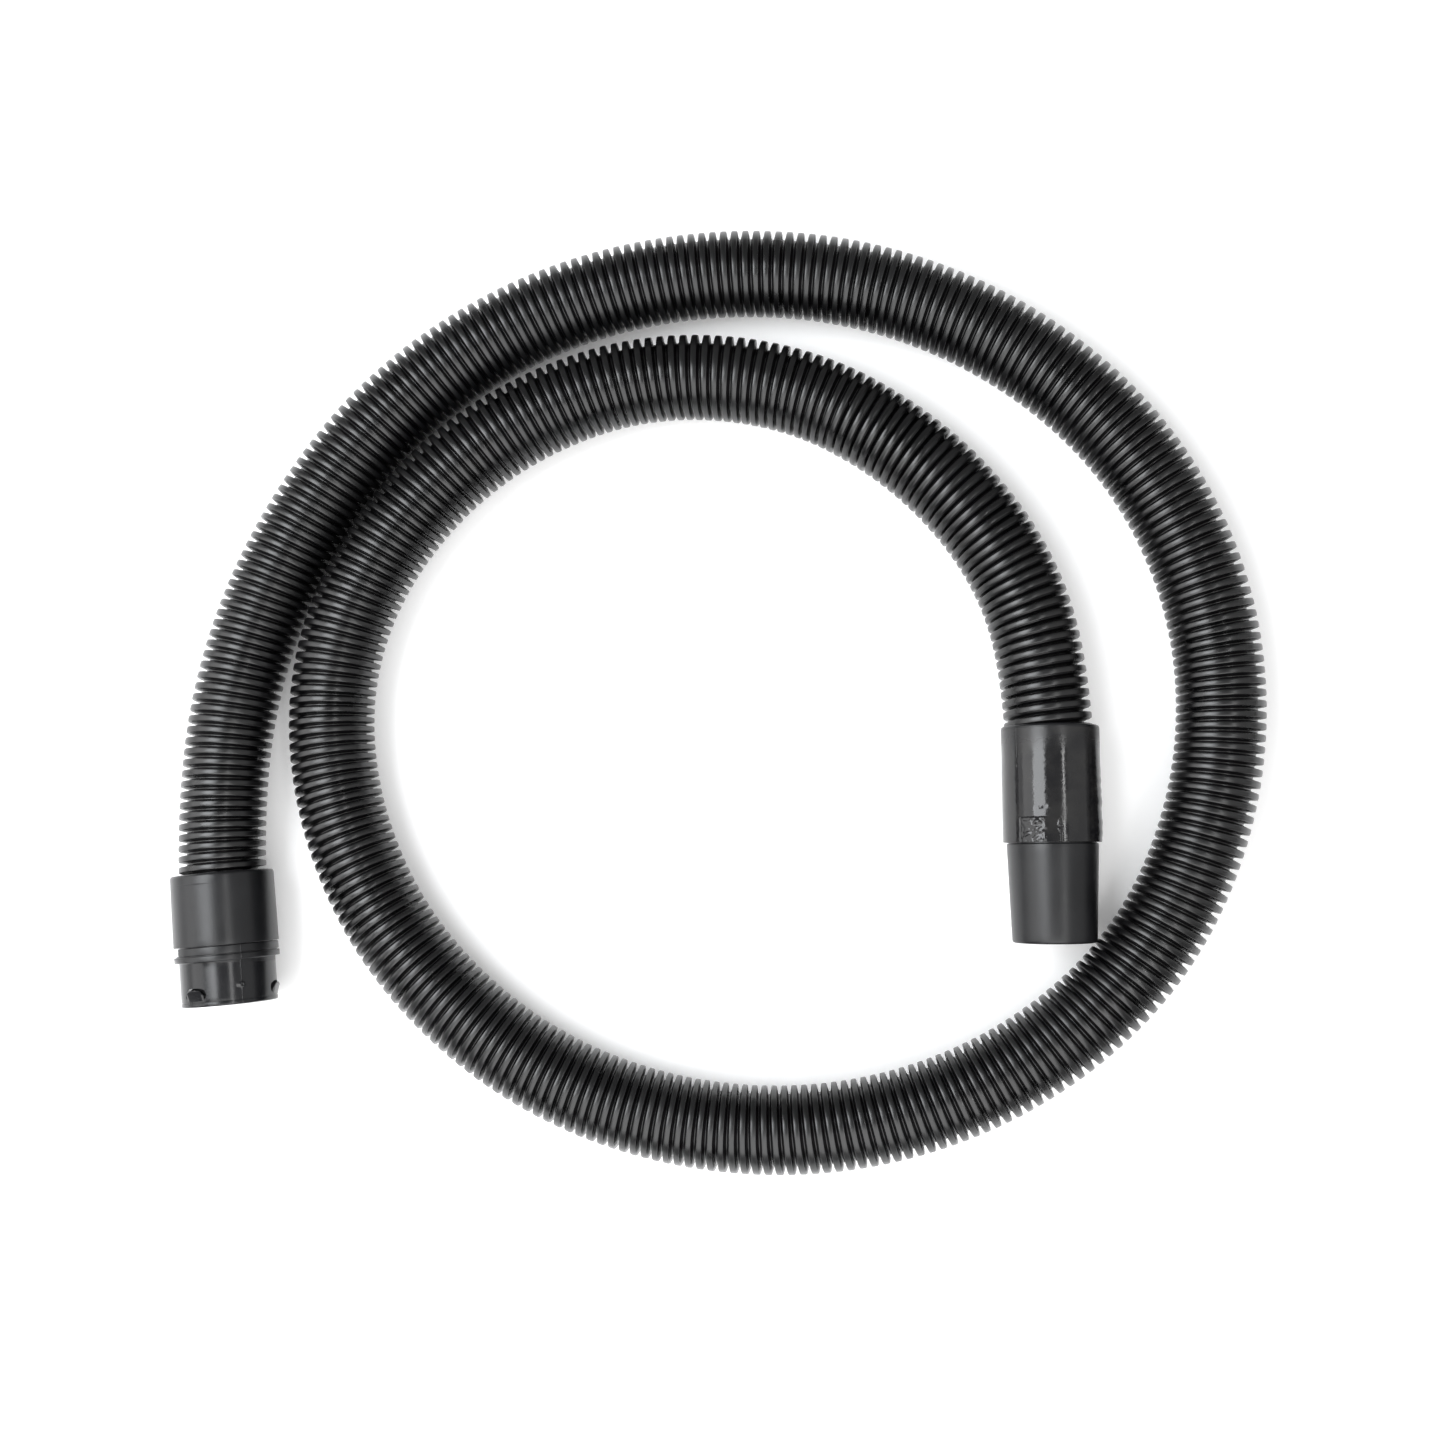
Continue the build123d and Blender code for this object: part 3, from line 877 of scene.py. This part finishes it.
def overlap_height(turn, station):
    """The free end of the tape, over the turn below it."""
    past_edge = (turn - FREE_END + FREE_END_STEP) / (2 * FREE_END_STEP)
    overlap = smoothstep(0, 1, past_edge) * (1 - smoothstep(OVERLAP_END, OVERLAP_END + 25, turn))
    return OVERLAP_HEIGHT * overlap * (0.35 + 0.65 * smoothstep(14, 30, station))


def slack_height(angle, across, station):
    """Slack film on the side towards +X, in folds that run round the sleeve."""
    slack = bell(angle_between(angle, SLACK_MIDDLE), SLACK_WIDTH) * smoothstep(20, 30, station)
    folds = 0.28 + 0.5 * noise.noise(Vector((0.3, across / 30, station / 3.6)))
    return slack * max(folds, 0) * (1 - smoothstep(60, 63, station))


def crumple_height(turn, spot):
    """Crumpled film on top, by its lower edge, with one flat facet in it."""
    sideways = smoothstep(-4, -3, turn) * (1 - smoothstep(44, 47, turn))
    crumple = sideways * smoothstep(49.6, 50.2, spot.z)
    wrinkles = abs(noise.noise(spot / 3.0)) + 0.3 * abs(noise.noise(spot / 1.5))
    facet = max(1 - ((turn - FACET_MIDDLE) / FACET_HALF_WIDTH) ** 2, 0.0)
    return crumple * (CRUMPLE_HEIGHT + WRINKLE_HEIGHT * wrinkles * (1 - facet) - FACET_DEPTH * facet)


def bubble_height(across, station):
    """Air caught under the film."""
    bells = (bell(across - x, size) * bell(station - u, size) for x, u, size in BUBBLES)
    return BUBBLE_HEIGHT * sum(bells)


def tape_relief(angle, station, radius):
    """How far the tape's skin stands above its smooth radius, in millimetres."""
    if radius < (TAPE_INNER_R + TAPE_OUTER_R) / 2:
        return 0.0
    turn = angle_between(angle, 0)
    across = turn * TAPE_MM_PER_DEGREE
    side = Vector((cos(radians(turn)), sin(radians(turn)), 0)) * TAPE_NOISE_R
    spot = Vector((side.x, side.y, station))
    height = 0.04 * noise.noise(spot / 9)
    height += overlap_height(turn, station)
    height += slack_height(angle, across, station)
    height += crumple_height(turn, spot)
    height += bubble_height(across, station)
    return height * (1 - smoothstep(BACK_START, BACK_END, abs(turn)))


def build_tape():
    """Glossy film wrapped once round the sleeve, with a free end, folds and crumples."""
    length = TAPE_END - TAPE_START
    stations = [TAPE_START + length * i / TAPE_ROWS for i in range(TAPE_ROWS + 1)]
    skin_line = [Vector((TAPE_OUTER_R, station)) for station in stations]
    outline = [Vector((TAPE_INNER_R, TAPE_START)), *skin_line, Vector((TAPE_INNER_R, TAPE_END))]
    step_sides = [FREE_END - FREE_END_STEP, FREE_END + FREE_END_STEP]
    angles = sorted(even_angles(TAPE_COLUMNS) + step_sides)
    tape = lathe("tape_wrap_film", TOOL, outline, TAPE_FILM, angles, tape_relief, crease=45)
    finish_piece(tape, "hose_body", "tape_film", "tape_wrap")


build_tape()

# ---- tool-end nozzle ----

NOZZLE_NECK_R = 23.55
NOZZLE_NECK_START = 41.2
NOZZLE_GROOVE_R = 22.45         # the retaining ring's groove in the neck
NOZZLE_GROOVE_START, NOZZLE_GROOVE_END = 46.3, 48.1
NOZZLE_SHOULDER = 63.6
NOZZLE_BASE_R = 24.6
NOZZLE_TIP_R = 22.6
NOZZLE_BORE_R = 20.4


def build_tool_nozzle():
    """The turning nozzle with its taper and rounded tip."""
    corners = [
        (NOZZLE_BORE_R, NOZZLE_NECK_START, 0.2),
        (NOZZLE_NECK_R, NOZZLE_NECK_START, 0.3),
        (NOZZLE_NECK_R, NOZZLE_GROOVE_START, 0),
        (NOZZLE_GROOVE_R, NOZZLE_GROOVE_START, 0),
        (NOZZLE_GROOVE_R, NOZZLE_GROOVE_END, 0),
        (NOZZLE_NECK_R, NOZZLE_GROOVE_END, 0),
        (NOZZLE_NECK_R, NOZZLE_SHOULDER, 0),
        (NOZZLE_BASE_R, NOZZLE_SHOULDER, 0.8),
        (NOZZLE_TIP_R, TOOL_LENGTH, 1.8),
        (NOZZLE_BORE_R, TOOL_LENGTH, 0.3),
    ]
    outline = refine(rounded(corners), list(range(68, 116, 4)), NOZZLE_TIP_R - 0.1)
    nozzle = lathe("tool_nozzle_body", TOOL, outline, NOZZLE_PLASTIC)
    finish_piece(nozzle, "tool_end", "cuff_plastic", "tool_nozzle")


build_tool_nozzle()

# ---- the rings and seals inside the cuffs keep their CAD shapes ----

for node, material in (
    ("machine_retaining_ring", RING_STEEL),
    ("tool_retaining_ring", RING_STEEL),
    ("machine_seal", SEAL_RUBBER),
    ("tool_seal", SEAL_RUBBER),
):
    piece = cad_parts[node]
    piece.data.materials.clear()
    piece.data.materials.append(material)


# ---- floor, light and camera ----

def build_floor():
    """A wide white floor."""
    half = 4000.0
    corners = [(-half, -half, 0), (half, -half, 0), (half, half, 0), (-half, half, 0)]
    floor = make_object("studio_floor", corners, [(0, 1, 2, 3)], floor_material(), crease=None)


def add_area_light(name, position, size, power, target=(0, 80, 0), colour=(1, 1, 1)):
    """A rectangular soft light, in millimetres and watts."""
    light = bpy.data.lights.new(name, "AREA")
    light.shape = "RECTANGLE"
    light.size, light.size_y = size[0] * MM, size[1] * MM
    light.energy = power
    light.color = colour
    obj = bpy.data.objects.new(name, light)
    obj.location = Vector(position) * MM
    obj.rotation_euler = (Vector(target) - Vector(position)).to_track_quat("-Z", "Y").to_euler()
    bpy.context.scene.collection.objects.link(obj)


def add_lights():
    """A cool key light at the left, soft lights in front and at both sides, and a far tube light."""
    add_area_light("softbox", (-777, 275, 1547), size=(950, 893), power=23, colour=(0.95, 0.975, 1.0))
    add_area_light("front_softbox", (0, -905, 1260), size=(2000, 1500), power=29)
    add_area_light("left_fill", (-2120, 90, 1325), size=(2400, 1400), power=26)
    add_area_light("low_fill", (-2476, 90, 348), size=(2400, 700), power=5.5)
    add_area_light("right_fill", (2000, 90, 1200), size=(2000, 2000), power=6)
    add_area_light("far_tube", (2350, 60, 5000), size=(3000, 250), power=36, target=(50, 80, 0))


def add_world(strength):
    """Even white light from all round."""
    world = bpy.data.worlds.new("studio")
    world.use_nodes = True
    background = world.node_tree.nodes["Background"]
    background.inputs["Color"].default_value = (1, 1, 1, 1)
    background.inputs["Strength"].default_value = strength
    bpy.context.scene.world = world


def add_camera():
    """Nearly overhead, 0.96 m above the floor, with the photograph's framing."""
    camera = bpy.data.cameras.new("camera")
    camera.sensor_width = 36
    camera.lens = 42.35
    obj = bpy.data.objects.new("camera", camera)
    position = Vector((132.6, -1.1, 961.5)) * MM
    target = Vector((52.1, 80.8, 24.1)) * MM
    back = (position - target).normalized()
    right = Vector((0, 1, 0)).cross(back).normalized()
    up = back.cross(right)
    turn = Matrix((right, up, back)).transposed()
    obj.matrix_world = Matrix.Translation(position) @ turn.to_4x4()
    bpy.context.scene.collection.objects.link(obj)
    bpy.context.scene.camera = obj


build_floor()
add_world(0.28)
add_lights()
add_camera()
bpy.context.scene.view_settings.view_transform = "Standard"
